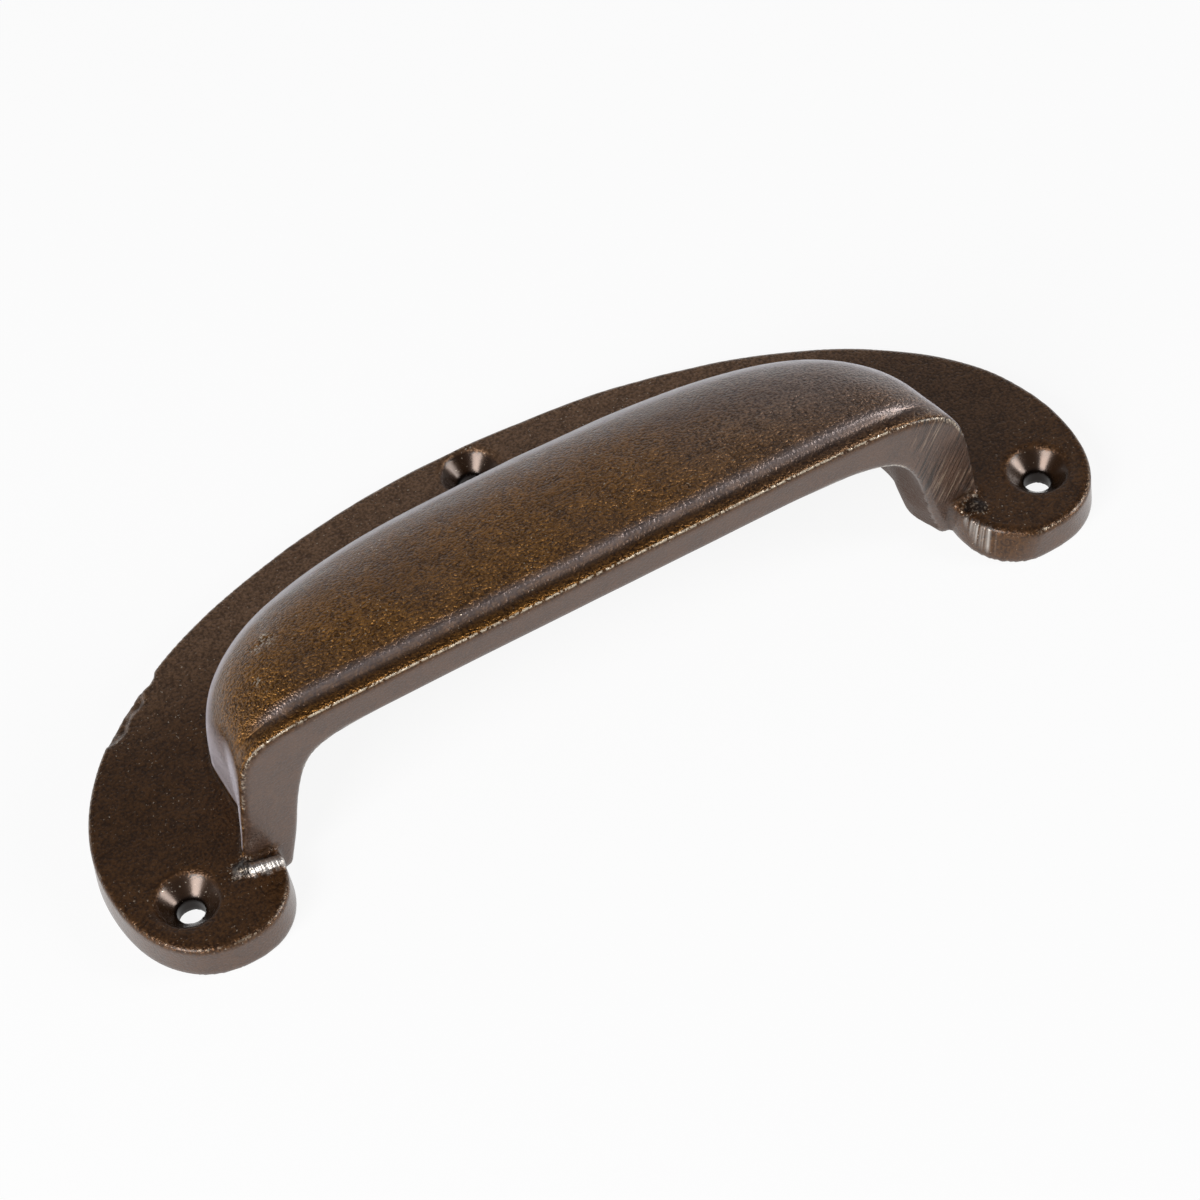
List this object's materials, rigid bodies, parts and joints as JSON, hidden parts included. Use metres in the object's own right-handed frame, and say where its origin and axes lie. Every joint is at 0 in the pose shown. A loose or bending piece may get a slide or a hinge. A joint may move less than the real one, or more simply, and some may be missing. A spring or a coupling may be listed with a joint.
{
  "type": "cup pull",
  "caption": "Cast drawer cup pull: a hollow hood with a ribbed lip on a crescent back plate with round ears and countersunk screw holes.",
  "frame": {"origin": "on the mounting plane, midway between the two ear holes", "axes": "+X along the length, +Y from the open mouth to the arched back edge, +Z out of the drawer front"},
  "size_m": [0.1506, 0.0603, 0.0274],
  "materials": {
    "cup_pull": "sand-cast metal under a dark bronze-brown satin lacquer, worn bright at the edges"
  },
  "bodies": {
    "root": {"cup_pull": "cup_pull"}
  },
  "joints": []
}
